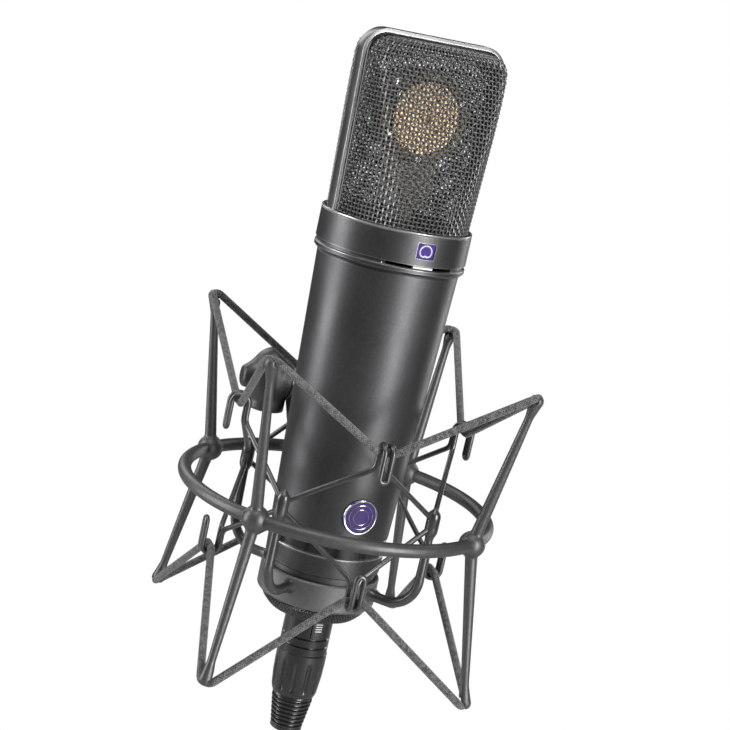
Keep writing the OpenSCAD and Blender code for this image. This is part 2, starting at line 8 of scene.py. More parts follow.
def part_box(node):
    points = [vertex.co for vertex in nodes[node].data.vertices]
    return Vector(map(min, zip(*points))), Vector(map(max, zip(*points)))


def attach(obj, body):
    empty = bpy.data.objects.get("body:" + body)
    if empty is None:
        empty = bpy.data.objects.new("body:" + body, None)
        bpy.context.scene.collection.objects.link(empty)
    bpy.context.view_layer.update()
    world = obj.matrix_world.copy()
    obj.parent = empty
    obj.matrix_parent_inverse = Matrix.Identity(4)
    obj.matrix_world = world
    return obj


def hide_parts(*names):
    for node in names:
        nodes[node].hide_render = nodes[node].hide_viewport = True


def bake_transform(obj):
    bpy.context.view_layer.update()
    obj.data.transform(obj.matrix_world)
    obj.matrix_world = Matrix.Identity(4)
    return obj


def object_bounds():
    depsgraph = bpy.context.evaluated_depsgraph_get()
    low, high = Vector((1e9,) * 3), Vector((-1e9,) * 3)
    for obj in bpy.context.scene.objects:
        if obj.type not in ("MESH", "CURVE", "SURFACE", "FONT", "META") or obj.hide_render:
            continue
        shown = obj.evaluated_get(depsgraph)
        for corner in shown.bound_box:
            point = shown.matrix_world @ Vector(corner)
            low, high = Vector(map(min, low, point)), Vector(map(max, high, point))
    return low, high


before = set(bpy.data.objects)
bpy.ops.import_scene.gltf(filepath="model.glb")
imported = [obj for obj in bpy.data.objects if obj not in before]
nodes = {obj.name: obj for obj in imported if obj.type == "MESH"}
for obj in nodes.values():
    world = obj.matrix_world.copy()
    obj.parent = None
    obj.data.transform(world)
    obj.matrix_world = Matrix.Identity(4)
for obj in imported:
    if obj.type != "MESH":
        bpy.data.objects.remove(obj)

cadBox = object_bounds()
scene = bpy.context.scene
mm = 0.001

# Two working frames in millimetres, both on the microphone's axis with z = 0 at its bottom face:
# the cage's, with the suspension's front at -Y, and the microphone's own, which is turned in it.
tubeLow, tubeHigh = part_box("body_tube")
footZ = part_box("bottom_ring")[0].z
axisX = (tubeLow.x + tubeHigh.x) / 2
axisY = (tubeLow.y + tubeHigh.y) / 2
micTurn = math.radians(8.2)     # how far the microphone is turned in the cage
cagePlace = Matrix.Translation((axisX, axisY, footZ)) @ Matrix.Scale(mm, 4)
micPlace = cagePlace @ Matrix.Rotation(micTurn, 4, "Z")
collarTop = (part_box("collar")[1].z - footZ) / mm
headTop = (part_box("head_band")[1].z - footZ) / mm
print("frame read: collar top", round(collarTop, 1), "head top", round(headTop, 1))


# Camera, floor and light

cameraSet = {
    "azimuth": -18.6,        # degrees round the suspension's axis from its front
    "distance": 703.5,       # level distance from the axis
    "aboveCollar": 97.2,
    "tilt": 12.29,           # downwards
    "roll": 12.44,
    "lens": 95.8,
}


def around(azimuth, radius, z):
    a = math.radians(azimuth)
    return Vector((radius * math.sin(a), -radius * math.cos(a), z))


def makeCamera():
    data = bpy.data.cameras.new("camera")
    camera = bpy.data.objects.new("camera", data)
    scene.collection.objects.link(camera)
    data.sensor_width = 36
    data.lens = cameraSet["lens"]
    data.clip_start = 0.02
    azimuth = math.radians(cameraSet["azimuth"])
    tilt = math.radians(cameraSet["tilt"])
    roll = math.radians(cameraSet["roll"])
    back = Vector((math.sin(azimuth) * math.cos(tilt), -math.cos(azimuth) * math.cos(tilt), math.sin(tilt)))
    level = Vector((math.cos(azimuth), math.sin(azimuth), 0))
    right = level * math.cos(roll) + back.cross(level) * math.sin(roll)
    up = back.cross(right)
    spot = around(cameraSet["azimuth"], cameraSet["distance"], collarTop + cameraSet["aboveCollar"])
    turn = Matrix((right, up, back)).transposed().to_4x4()
    camera.matrix_world = Matrix.Translation(cagePlace @ spot) @ turn
    scene.camera = camera


room = {
    "skyLight": 0.06,        # what the surroundings give the part
    "skySeen": 1.0,          # how bright they are to the camera
    "floorDrop": 0.22,       # the stand holds the part this far above the floor
    "floorHalf": 8.0,
    "floorGrey": 0.5,
}

lightSet = {
    # name: azimuth, elevation, distance, width, height, power
    "softboxLeft": (-103, 6, 1.1, 0.42, 1.3, 10.5),
    "softboxRight": (27, 8, 1.3, 0.42, 1.2, 17),
    "softboxTop": (-30, 72, 1.2, 0.8, 0.8, 5),
    "rimRight": (122, 12, 1.1, 0.2, 1.2, 3),
    "rimBack": (-160, 30, 1.2, 0.5, 0.9, 4),
}


def splitForCamera(tree, others, seen, out):
    # One shader for the camera's own rays and another for every other ray
    path = tree.nodes.new("ShaderNodeLightPath")
    mix = tree.nodes.new("ShaderNodeMixShader")
    tree.links.new(path.outputs["Is Camera Ray"], mix.inputs["Fac"])
    tree.links.new(others.outputs[0], mix.inputs[1])
    tree.links.new(seen.outputs[0], mix.inputs[2])
    tree.links.new(mix.outputs[0], out.inputs["Surface"])


def makeLights():
    target = Vector((axisX, axisY, footZ + 80 * mm))
    for name, (azimuth, elevation, distance, width, height, power) in lightSet.items():
        data = bpy.data.lights.new(name, "AREA")
        data.shape = "RECTANGLE"
        data.size = width
        data.size_y = height
        data.energy = power
        lamp = bpy.data.objects.new(name, data)
        scene.collection.objects.link(lamp)
        e = math.radians(elevation)
        offset = around(azimuth, distance * math.cos(e), distance * math.sin(e))
        lamp.location = target + offset
        lamp.rotation_mode = "QUATERNION"
        lamp.rotation_quaternion = (-offset).to_track_quat("-Z", "Y")
    world = bpy.data.worlds.new("studio")
    scene.world = world
    world.use_nodes = True
    tree = world.node_tree
    tree.nodes.clear()
    out = tree.nodes.new("ShaderNodeOutputWorld")
    pale = tree.nodes.new("ShaderNodeBackground")
    pale.inputs["Color"].default_value = (1, 1, 1, 1)
    pale.inputs["Strength"].default_value = room["skySeen"]
    dim = tree.nodes.new("ShaderNodeBackground")
    dim.inputs["Color"].default_value = (0.97, 0.98, 1, 1)
    dim.inputs["Strength"].default_value = room["skyLight"]
    splitForCamera(tree, dim, pale, out)


def makeFloor():
    half = room["floorHalf"]
    z = cadBox[0].z - room["floorDrop"]
    edge = [(-half, -half, z), (half, -half, z), (half, half, z), (-half, half, z)]
    mesh = bpy.data.meshes.new("floor")
    mesh.from_pydata(edge, [], [(0, 1, 2, 3)])
    floor = bpy.data.objects.new("floor", mesh)
    scene.collection.objects.link(floor)
    material = bpy.data.materials.new("paleFloor")
    material.use_nodes = True
    tree = material.node_tree
    shader = tree.nodes["Principled BSDF"]
    shader.inputs["Base Color"].default_value = (room["floorGrey"],) * 3 + (1,)
    shader.inputs["Roughness"].default_value = 0.9
    glow = tree.nodes.new("ShaderNodeEmission")
    glow.inputs["Strength"].default_value = 1.0
    splitForCamera(tree, shader, glow, tree.nodes["Material Output"])
    mesh.materials.append(material)


scene.view_settings.view_transform = "Standard"
makeCamera()
makeLights()
makeFloor()
print("camera, lights and floor made")


# Shader effects that several finishes share

def newGroup(name, inputs, outputs):
    tree = bpy.data.node_groups.new(name, "ShaderNodeTree")
    for label, value in inputs:
        socket = tree.interface.new_socket(label, in_out="INPUT", socket_type="NodeSocketFloat")
        socket.default_value = value
    for label in outputs:
        tree.interface.new_socket(label, in_out="OUTPUT", socket_type="NodeSocketFloat")
    return tree, tree.nodes.new("NodeGroupInput"), tree.nodes.new("NodeGroupOutput")


def mathNode(tree, operation, first, second=None, clamp=False):
    node = tree.nodes.new("ShaderNodeMath")
    node.operation = operation
    node.use_clamp = clamp
    for slotIndex, value in enumerate((first, second)):
        if value is None:
            continue
        if isinstance(value, (int, float)):
            node.inputs[slotIndex].default_value = value
        else:
            tree.links.new(value, node.inputs[slotIndex])
    return node.outputs[0]


def noiseNode(tree, vector, scale, detail=3.0, roughness=0.5):
    node = tree.nodes.new("ShaderNodeTexNoise")
    tree.links.new(vector, node.inputs["Vector"])
    if isinstance(scale, (int, float)):
        node.inputs["Scale"].default_value = scale
    else:
        tree.links.new(scale, node.inputs["Scale"])
    node.inputs["Detail"].default_value = detail
    node.inputs["Roughness"].default_value = roughness
    return node.outputs["Fac"]


def makeGrain():
    # Fine tooth of a paint or powder coat; the scale is in grains per metre
    tree, given, out = newGroup("fineGrain", [("Scale", 2500.0)], ["Height", "Tone"])
    place = tree.nodes.new("ShaderNodeTexCoord").outputs["Object"]
    fine = noiseNode(tree, place, given.outputs["Scale"], 2.0)
    coarseScale = mathNode(tree, "MULTIPLY", given.outputs["Scale"], 0.31)
    coarse = noiseNode(tree, place, coarseScale, 3.0)
    height = mathNode(tree, "MULTIPLY_ADD", fine, 0.6)
    tree.links.new(coarse, height.node.inputs[2])
    tree.links.new(height, out.inputs["Height"])
    tone = mathNode(tree, "MULTIPLY", fine, coarse)
    tree.links.new(mathNode(tree, "MULTIPLY", tone, 2.2, True), out.inputs["Tone"])
    return tree


def makeSmudges():
    # Broad, soft patches where hands have polished or dulled a finish
    tree, given, out = newGroup("handSmudges", [("Scale", 45.0), ("Contrast", 2.0)], ["Mask"])
    place = tree.nodes.new("ShaderNodeTexCoord").outputs["Object"]
    cloud = noiseNode(tree, place, given.outputs["Scale"], 4.0, 0.6)
    centred = mathNode(tree, "SUBTRACT", cloud, 0.5)
    spread = mathNode(tree, "MULTIPLY", centred, given.outputs["Contrast"])
    tree.links.new(mathNode(tree, "ADD", spread, 0.5, True), out.inputs["Mask"])
    return tree


def makeEdgeHighlight():
    # Where a surface turns sharply within the radius: a mask for the painted highlight and wear on edges
    tree, given, out = newGroup("edgeHighlightAndWear", [("Radius", 0.0004), ("Gain", 6.0)], ["Mask"])
    bevel = tree.nodes.new("ShaderNodeBevel")
    bevel.samples = 6
    tree.links.new(given.outputs["Radius"], bevel.inputs["Radius"])
    geometry = tree.nodes.new("ShaderNodeNewGeometry")
    dot = tree.nodes.new("ShaderNodeVectorMath")
    dot.operation = "DOT_PRODUCT"
    tree.links.new(bevel.outputs[0], dot.inputs[0])
    tree.links.new(geometry.outputs["Normal"], dot.inputs[1])
    away = mathNode(tree, "SUBTRACT", 1.0, dot.outputs["Value"])
    tree.links.new(mathNode(tree, "MULTIPLY", away, given.outputs["Gain"], True), out.inputs["Mask"])
    return tree


def makeBraid():
    # Sleeve of a braided cord, from its UV map: u runs round it, v along it in millimetres
    settings = [("Strands", 8.0), ("Turns per mm", 0.42)]
    tree, given, out = newGroup("braidedSleeve", settings, ["Height", "Fleck"])
    uv = tree.nodes.new("ShaderNodeUVMap")
    split = tree.nodes.new("ShaderNodeSeparateXYZ")
    tree.links.new(uv.outputs[0], split.inputs[0])
    roundIt = mathNode(tree, "MULTIPLY", split.outputs[0], given.outputs["Strands"])
    alongIt = mathNode(tree, "MULTIPLY", split.outputs[1], given.outputs["Turns per mm"])
    waves = []
    for operation in ("ADD", "SUBTRACT"):
        phase = mathNode(tree, operation, roundIt, alongIt)
        waves.append(mathNode(tree, "SINE", mathNode(tree, "MULTIPLY", phase, 2 * math.pi)))
    tree.links.new(mathNode(tree, "MAXIMUM", waves[0], waves[1]), out.inputs["Height"])
    cell = tree.nodes.new("ShaderNodeCombineXYZ")
    tree.links.new(mathNode(tree, "ADD", roundIt, alongIt), cell.inputs[0])
    tree.links.new(mathNode(tree, "SUBTRACT", roundIt, alongIt), cell.inputs[1])
    spots = tree.nodes.new("ShaderNodeTexWhiteNoise")
    floorCell = tree.nodes.new("ShaderNodeVectorMath")
    floorCell.operation = "FLOOR"
    tree.links.new(cell.outputs[0], floorCell.inputs[0])
    tree.links.new(floorCell.outputs[0], spots.inputs["Vector"])
    tree.links.new(spots.outputs["Value"], out.inputs["Fleck"])
    return tree


grainGroup = makeGrain()
smudgeGroup = makeSmudges()
edgeHighlightGroup = makeEdgeHighlight()
braidGroup = makeBraid()


# Materials

def placeGroup(tree, group, **values):
    node = tree.nodes.new("ShaderNodeGroup")
    node.node_tree = group
    for label, value in values.items():
        node.inputs[label.replace("_", " ")].default_value = value
    return node


def mixColour(tree, fac, first, second):
    node = tree.nodes.new("ShaderNodeMix")
    node.data_type = "RGBA"
    if isinstance(fac, (int, float)):
        node.inputs["Factor"].default_value = fac
    else:
        tree.links.new(fac, node.inputs["Factor"])
    for label, value in (("A", first), ("B", second)):
        socket = [s for s in node.inputs if s.name == label and s.type == "RGBA"][0]
        if isinstance(value, tuple):
            socket.default_value = (*value, 1)
        else:
            tree.links.new(value, socket)
    return [s for s in node.outputs if s.type == "RGBA"][0]


def spanNode(tree, value, low, high):
    node = tree.nodes.new("ShaderNodeMapRange")
    tree.links.new(value, node.inputs["Value"])
    node.inputs["To Min"].default_value = low
    node.inputs["To Max"].default_value = high
    return node.outputs[0]


def bumpNode(tree, height, distance, strength=1.0, normal=None):
    node = tree.nodes.new("ShaderNodeBump")
    node.inputs["Strength"].default_value = strength
    node.inputs["Distance"].default_value = distance
    tree.links.new(height, node.inputs["Height"])
    if normal is not None:
        tree.links.new(normal, node.inputs["Normal"])
    return node.outputs[0]


def finish(name, dark, light, roughness, metallic=0.0, grain=2500, depth=0.00002, edge=None,
           highlightRadius=0.0004, highlightGain=6.0, smudge=0.06, coat=0.0, specular=0.5):
    # One painted, moulded or plated finish: grain, hand marks and edges brightened as painted highlight and
    # wear, over two tones
    material = bpy.data.materials.new(name)
    material.use_nodes = True
    tree = material.node_tree
    shader = tree.nodes["Principled BSDF"]
    shader.inputs["Metallic"].default_value = metallic
    shader.inputs["Coat Weight"].default_value = coat
    shader.inputs["Coat Roughness"].default_value = 0.15
    shader.inputs["Specular IOR Level"].default_value = specular
    grainNode = placeGroup(tree, grainGroup, Scale=grain)
    smudgeNode = placeGroup(tree, smudgeGroup)
    colour = mixColour(tree, grainNode.outputs["Tone"], dark, light)
    rough = spanNode(tree, smudgeNode.outputs["Mask"], roughness - smudge, roughness + smudge)
    # edge is the colour painted on sharp edges: a painted highlight where they catch the light, and wear
    if edge is not None:
        edgeHighlightNode = placeGroup(tree, edgeHighlightGroup, Radius=highlightRadius, Gain=highlightGain)
        colour = mixColour(tree, edgeHighlightNode.outputs["Mask"], colour, (edge,) * 3)
    tree.links.new(colour, shader.inputs["Base Color"])
    tree.links.new(rough, shader.inputs["Roughness"])
    tree.links.new(bumpNode(tree, grainNode.outputs["Height"], depth, 0.5), shader.inputs["Normal"])
    return material


satinBlack = finish("satinBlack", (0.085, 0.086, 0.088), (0.125, 0.126, 0.128), 0.4, metallic=0.86,
                    grain=3200, depth=0.000012, edge=0.6, highlightRadius=0.00035, highlightGain=5)
barSatin = finish("barSatin", (0.13, 0.131, 0.134), (0.18, 0.181, 0.184), 0.36, metallic=0.86,
                  grain=3200, depth=0.00001, edge=0.8, highlightRadius=0.00045, highlightGain=9)
rimBright = finish("rimBright", (0.55, 0.55, 0.55), (0.68, 0.68, 0.68), 0.3, metallic=0.95,
                   grain=1500, depth=0.000006)
cupSatin = finish("cupSatin", (0.17, 0.171, 0.174), (0.235, 0.236, 0.239), 0.5, metallic=0.7,
                  grain=1500, depth=0.00003, edge=0.4, highlightGain=4)
frameSatin = finish("frameSatin", (0.105, 0.106, 0.108), (0.15, 0.151, 0.153), 0.44, metallic=0.65,
                    grain=1700, depth=0.000025, edge=0.3, highlightGain=3)
castBlack = finish("castBlack", (0.075, 0.076, 0.078), (0.12, 0.121, 0.123), 0.42, metallic=0.8,
                   grain=1600, depth=0.00003, edge=0.3, highlightGain=3)
nutBlack = finish("nutBlack", (0.03, 0.03, 0.031), (0.05, 0.05, 0.052), 0.38, metallic=0.8,
                  grain=1600, depth=0.00002, edge=0.5, highlightRadius=0.00025, highlightGain=5)
wireBlack = finish("wireBlack", (0.12, 0.121, 0.123), (0.17, 0.171, 0.173), 0.3, metallic=0.8,
                   grain=2400, depth=0.000006)
grilleWire = finish("grilleWire", (0.14, 0.14, 0.143), (0.3, 0.3, 0.303), 0.42, metallic=0.75,
                    grain=2200, depth=0.00002)
gauzeWire = finish("gauzeWire", (0.02, 0.02, 0.022), (0.04, 0.04, 0.043), 0.45, metallic=0.7)
brightMetal = finish("brightMetal", (0.62, 0.61, 0.59), (0.74, 0.73, 0.71), 0.2, metallic=1.0,
                     grain=900, depth=0.000006, smudge=0.05)
bandGloss = finish("bandGloss", (0.008, 0.008, 0.009), (0.014, 0.014, 0.015), 0.22, grain=2600,
                   depth=0.000005, coat=0.3, edge=0.55, highlightRadius=0.0003, highlightGain=5)
goldFilm = finish("goldFilm", (1.0, 0.64, 0.3), (1.0, 0.82, 0.54), 0.34, metallic=1.0, grain=420,
                  depth=0.00005, smudge=0.1)
capsuleBrass = finish("capsuleBrass", (0.16, 0.13, 0.085), (0.24, 0.2, 0.13), 0.4, metallic=1.0)
blackPlastic = finish("blackPlastic", (0.012, 0.012, 0.013), (0.02, 0.02, 0.021), 0.28, grain=1800,
                      depth=0.00001, specular=0.8)
shellBlack = finish("shellBlack", (0.055, 0.055, 0.057), (0.08, 0.08, 0.082), 0.22, metallic=0.9,
                    grain=1500, depth=0.000012, coat=0.15, edge=0.25, highlightGain=3)
bootRubber = finish("bootRubber", (0.014, 0.014, 0.015), (0.024, 0.024, 0.025), 0.3, grain=1300,
                    depth=0.00002, specular=0.9)
padRubber = finish("padRubber", (0.02, 0.02, 0.02), (0.03, 0.03, 0.03), 0.7, grain=900, depth=0.00004)
ivoryPlastic = finish("ivoryPlastic", (0.62, 0.58, 0.48), (0.72, 0.68, 0.58), 0.45)
boardGreen = finish("boardGreen", (0.03, 0.15, 0.06), (0.05, 0.22, 0.1), 0.35, grain=500)
platedSteel = finish("platedSteel", (0.42, 0.42, 0.41), (0.55, 0.55, 0.54), 0.35, metallic=1.0, grain=700)
whiteKnob = finish("whiteKnob", (0.86, 0.86, 0.84), (0.95, 0.95, 0.93), 0.35, grain=1500, depth=0.00001)
windowViolet = finish("windowViolet", (0.045, 0.02, 0.2), (0.13, 0.06, 0.42), 0.5, grain=160, specular=0.15)
badgeEnamel = finish("badgeEnamel", (0.05, 0.028, 0.16), (0.085, 0.05, 0.23), 0.42, grain=900, specular=0.3)
signWhite = finish("signWhite", (0.82, 0.8, 0.86), (0.95, 0.94, 0.97), 0.4)


def makeElastic():
    material = bpy.data.materials.new("elasticBraid")
    material.use_nodes = True
    tree = material.node_tree
    shader = tree.nodes["Principled BSDF"]
    shader.inputs["Sheen Weight"].default_value = 0.35
    shader.inputs["Sheen Roughness"].default_value = 0.5
    shader.inputs["Roughness"].default_value = 0.78
    braid = placeGroup(tree, braidGroup, Strands=8.0, Turns_per_mm=1.0)
    fleck = spanNode(tree, braid.outputs["Fleck"], 0.05, 0.8)
    threads = mixColour(tree, fleck, (0.075, 0.075, 0.076), (0.34, 0.34, 0.34))
    shade = spanNode(tree, braid.outputs["Height"], 0.35, 1.0)
    colour = mixColour(tree, shade, (0.015, 0.015, 0.015), threads)
    tree.links.new(colour, shader.inputs["Base Color"])
    tree.links.new(bumpNode(tree, braid.outputs["Height"], 0.00015, 0.8), shader.inputs["Normal"])
    return material


elasticBraid = makeElastic()
print("materials made")


# Mesh helpers

def addPiece(name, shape, place, body, material, stands=(), sharp=35):
    # shape is (verts, quads, uvs) in millimetres, and stands are the CAD nodes that the piece stands for
    verts, quads, uvs = shape
    verts = np.asarray(verts, float)
    quads = np.asarray(quads, np.int32)
    mesh = bpy.data.meshes.new(name)
    mesh.vertices.add(len(verts))
    mesh.vertices.foreach_set("co", verts.astype(np.float32).ravel())
    mesh.loops.add(quads.size)
    mesh.loops.foreach_set("vertex_index", quads.ravel())
    mesh.polygons.add(len(quads))
    mesh.polygons.foreach_set("loop_start", np.arange(0, quads.size, 4, dtype=np.int32))
    mesh.update(calc_edges=True)
    if uvs is not None:
        layer = mesh.uv_layers.new(name="UVMap")
        layer.data.foreach_set("uv", np.asarray(uvs, np.float32).ravel())
    mesh.transform(place)
    mesh.validate()
    mesh.shade_smooth()
    mesh.set_sharp_from_angle(angle=math.radians(sharp))
    mesh.materials.append(material)
    piece = bpy.data.objects.new(name, mesh)
    scene.collection.objects.link(piece)
    if stands:
        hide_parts(*stands)
    if body:
        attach(piece, body)
    return piece


def joinParts(parts):
    # Several (verts, quads, uvs) become one
    verts, quads, uvs, start = [], [], [], 0
    for v, q, uv in parts:
        verts.append(np.asarray(v, float))
        quads.append(np.asarray(q, int) + start)
        uvs.append(np.asarray(uv, float).reshape(-1, 2))
        start += len(v)
    return np.vstack(verts), np.vstack(quads), np.vstack(uvs)


def capQuads(first, sides, flip):
    # A flat end of an even number of sides as a fan of quads
    rows = [[first, first + k, first + k + 1, first + k + 2] for k in range(1, sides - 2, 2)]
    return [row[::-1] for row in rows] if flip else rows


def distances(points):
    # How far each point is along the line through them
    return np.concatenate([[0], np.cumsum(np.linalg.norm(np.diff(points, axis=0), axis=1))])


def tubeAlong(points, radii, sides=12, closed=False, normals=None):
    # A tube along points. Frames are carried along without twist, or follow the normals given.
    points = np.asarray(points, float)
    count = len(points)
    radii = np.full(count, radii, float) if np.isscalar(radii) else np.asarray(radii, float)
    if closed:
        tangents = np.roll(points, -1, 0) - np.roll(points, 1, 0)
    else:
        tangents = np.gradient(points, axis=0)
    tangents /= np.linalg.norm(tangents, axis=1)[:, None]
    if normals is None:
        normals = np.zeros_like(points)
        seed = np.array([0, 0, 1.0]) if abs(tangents[0][2]) < 0.9 else np.array([1.0, 0, 0])
        normal = np.cross(np.cross(tangents[0], seed), tangents[0])
        for i in range(count):
            normal = normal - tangents[i] * (normal @ tangents[i])
            normal /= np.linalg.norm(normal)
            normals[i] = normal
    else:
        normals = normals - tangents * (normals * tangents).sum(1)[:, None]
        normals /= np.linalg.norm(normals, axis=1)[:, None]
    sideways = np.cross(tangents, normals)
    angles = np.arange(sides) * 2 * math.pi / sides
    ring = np.cos(angles)[None, :, None] * normals[:, None, :]
    ring = ring + np.sin(angles)[None, :, None] * sideways[:, None, :]
    verts = (points[:, None, :] + ring * radii[:, None, None]).reshape(-1, 3)
    length = distances(points)
    steps = count if closed else count - 1
    i = np.repeat(np.arange(steps), sides)
    j = np.tile(np.arange(sides), steps)
    i2 = (i + 1) % count
    j2 = (j + 1) % sides
    quads = np.stack([i * sides + j, i2 * sides + j, i2 * sides + j2, i * sides + j2], 1)[:, ::-1]
    v = length[i]
    v2 = length[np.minimum(i + 1, count - 1)]
    u = j / sides
    u2 = (j + 1) / sides
    uvs = np.stack([np.stack(pair, 1) for pair in ((u2, v), (u2, v2), (u, v2), (u, v))], 1)
    if not closed:
        caps = np.array(capQuads(0, sides, False) + capQuads((count - 1) * sides, sides, True))
        quads = np.vstack([quads, caps])
        uvs = np.vstack([uvs, np.zeros((len(caps), 4, 2))])
    return verts, quads, uvs.reshape(-1, 2)


def roundedPath(points, radii, step=0.35):
    # A polyline with each inner corner turned into an arc of its own radius
    points = [np.asarray(p, float) for p in points]
    path = [points[0]]
    for before, corner, after, radius in zip(points, points[1:], points[2:], radii):
        a = (before - corner) / np.linalg.norm(before - corner)
        b = (after - corner) / np.linalg.norm(after - corner)
        half = math.acos(max(-1, min(1, float(a @ b)))) / 2
        if radius <= 0 or abs(half - math.pi / 2) < 0.01:
            path.append(corner)
            continue
        middle = a + b
        middle /= np.linalg.norm(middle)
        centre = corner + middle * radius / math.sin(half)
        start = corner + a * radius / math.tan(half) - centre
        end = corner + b * radius / math.tan(half) - centre
        sweep = math.pi - 2 * half
        pieces = max(3, int(sweep * radius / step))
        for k in range(pieces + 1):
            t = k / pieces
            spoke = start * math.sin((1 - t) * sweep) + end * math.sin(t * sweep)
            path.append(centre + spoke / math.sin(sweep))
    path.append(points[-1])
    return np.array(path)


def evenly(path, step):
    # The same path with points at an even distance
    path = np.asarray(path, float)
    length = distances(path)
    count = max(2, int(round(length[-1] / step)) + 1)
    at = np.linspace(0, length[-1], count)
    return np.stack([np.interp(at, length, path[:, k]) for k in range(3)], 1)


def turned(profile, segments=128, ripple=None):
    # A solid turned from a closed outline of (radius, z) points. ripple(angle, radius, z) moves its skin.
    profile = np.asarray(profile, float)
    count = len(profile)
    angles = np.arange(segments) * 2 * math.pi / segments
    radius = np.repeat(profile[:, 0][:, None], segments, 1)
    z = np.repeat(profile[:, 1][:, None], segments, 1)
    angle = np.repeat(angles[None, :], count, 0)
    if ripple is not None:
        radius = radius + ripple(angle, radius, z)
    verts = np.stack([radius * np.sin(angle), -radius * np.cos(angle), z], 2).reshape(-1, 3)
    i = np.repeat(np.arange(count), segments)
    j = np.tile(np.arange(segments), count)
    i2 = (i + 1) % count
    j2 = (j + 1) % segments
    quads = np.stack([i * segments + j, i * segments + j2, i2 * segments + j2, i2 * segments + j], 1)
    length = distances(profile)
    v = length[i]
    v2 = np.where(i + 1 < count, length[np.minimum(i + 1, count - 1)], length[-1] + 1)
    u = j / segments
    u2 = (j + 1) / segments
    uvs = np.stack([np.stack(pair, 1) for pair in ((u, v), (u2, v), (u2, v2), (u, v2))], 1)
    return verts, quads, uvs.reshape(-1, 2)


def refine(profile, step):
    # More points along an outline, so that a ripple has something to move
    dense = []
    for a, b in zip(profile, profile[1:] + profile[:1]):
        count = max(1, int(math.dist(a, b) / step))
        for k in range(count):
            dense.append((a[0] + (b[0] - a[0]) * k / count, a[1] + (b[1] - a[1]) * k / count))
    return dense


# The head: outer mesh, gauze and frame bar

head = {
    "baseRadius": 26.0, "topRadius": 28.5,   # the round part, at the collar and at the top
    "baseDepth": 30.0, "topDepth": 12.2,     # front face's distance from the middle plane
    "corner": 9.0, "crown": 5.0,             # radii of the top corners and of the top's front edge
    "halfWidth": 27.7, "sink": 1.2,          # how far the mesh goes down into the collar
    "blend": 14.0,                           # how sharply the faces meet
    "pitch": 1.6, "wire": 0.31,              # woven mesh: spacing and wire radius
    "gauzePitch": 1.6, "gauzeWire": 0.16, "gauzeInset": 2.0,
    "underBar": 2.7,                         # the mesh's top lies this far below the bar's
    "edge": 2.2,                             # the mesh stops this far from the middle plane
}
headHeight = headTop - collarTop - head["underBar"]
headPlace = micPlace @ Matrix.Translation((0, 0, collarTop))


def headSide(inset):
    # The front face's side view as points (depth, height) from the collar up and over the top
    top = headHeight - inset
    crown = head["crown"]
    lowY, highY = head["baseDepth"] - inset, head["topDepth"] - inset
    points = [(lowY, -head["sink"])]
    steps = 30
    for k in range(1, steps + 1):
        t = k / steps
        points.append((lowY + (highY - lowY) * t, -head["sink"] + (top - crown + head["sink"]) * t))
    for k in range(1, 9):
        a = math.pi / 2 * k / 8
        points.append((highY - crown + crown * math.cos(a), top - crown + crown * math.sin(a)))
    points.append((2.4, top + 0.02))
    return np.array(points)


def headPoint(side, lengths, across, along, inset):
    # across runs from -1 at the left edge to 1 at the right, along in mm from the collar over the top
    depth = np.interp(along, lengths, side[:, 0])
    height = np.interp(along, lengths, side[:, 1])
    top = headHeight - inset
    corner = head["corner"] - inset
    width = head["halfWidth"] - inset
    over = np.clip((height - (top - corner)) / corner, 0, 1)
    limit = width - corner + corner * np.sqrt(np.maximum(1 - over ** 2, 0.0))
    widening = (head["topRadius"] - head["baseRadius"]) * np.clip(height / headHeight, 0, 1)
    cone = head["baseRadius"] - inset + widening
    theta = np.linspace(0, math.pi / 2, 90)
    p = head["blend"]
    flat = np.abs(np.cos(theta) / depth) ** p + np.abs(np.sin(theta) / limit) ** p
    radius = (flat + (1 / cone) ** p) ** (-1 / p)
    x, y = radius * np.sin(theta), radius * np.cos(theta)
    keep = y >= head["edge"]
    x, y = x[keep], y[keep]
    girth = distances(np.stack([x, y], 1))
    at = np.abs(across) * girth[-1]
    return np.sign(across) * np.interp(at, girth, x), -np.interp(at, girth, y), height, girth[-1]


def headGrid(columns, rows, inset):
    side = headSide(inset)
    lengths = distances(side)
    across = np.linspace(-1, 1, columns)
    grid = np.zeros((rows, columns, 3))
    for k, along in enumerate(np.linspace(0, lengths[-1], rows)):
        x, y, z, _ = headPoint(side, lengths, across, along, inset)
        grid[k] = np.stack([x, y, np.full(columns, z)], 1)
    alongStep = np.gradient(grid, axis=0)
    acrossStep = np.gradient(grid, axis=1)
    normals = np.cross(acrossStep, alongStep)
    normals /= np.linalg.norm(normals, axis=2)[:, :, None] + 1e-9
    normals *= np.sign((normals * (grid * [1, 1, 0] + [0, 0, 0.1])).sum(2))[:, :, None]
    return grid, normals, lengths[-1]


def makeGrille(sideName, turn):
    perCell = 3
    wide = headPoint(headSide(0), np.arange(len(headSide(0))), np.array([1.0]), 4.0, 0)[3] * 2
    columns = int(round(wide / head["pitch"]))
    rows = int(round(headGrid(5, 5, 0)[2] / head["pitch"]))
    grid, normals, _ = headGrid(columns * perCell + 1, rows * perCell + 1, 0)
    parts = []
    reach = head["wire"] * 0.98
    columnAt = np.arange(grid.shape[1]) / perCell
    rowAt = np.arange(grid.shape[0]) / perCell
    for row in range(rows + 1):
        wave = np.cos(math.pi * (columnAt + row)) * reach
        line = grid[row * perCell] + normals[row * perCell] * wave[:, None]
        parts.append(tubeAlong(line, head["wire"], 6, normals=normals[row * perCell]))
    for column in range(columns + 1):
        wave = -np.cos(math.pi * (rowAt + column)) * reach
        line = grid[:, column * perCell] + normals[:, column * perCell] * wave[:, None]
        parts.append(tubeAlong(line, head["wire"], 6, normals=normals[:, column * perCell]))
    place = headPlace @ Matrix.Rotation(turn, 4, "Z")
    addPiece(sideName + "Mesh", joinParts(parts), place, "microphone", grilleWire,
             stands=(sideName + "_grille",))


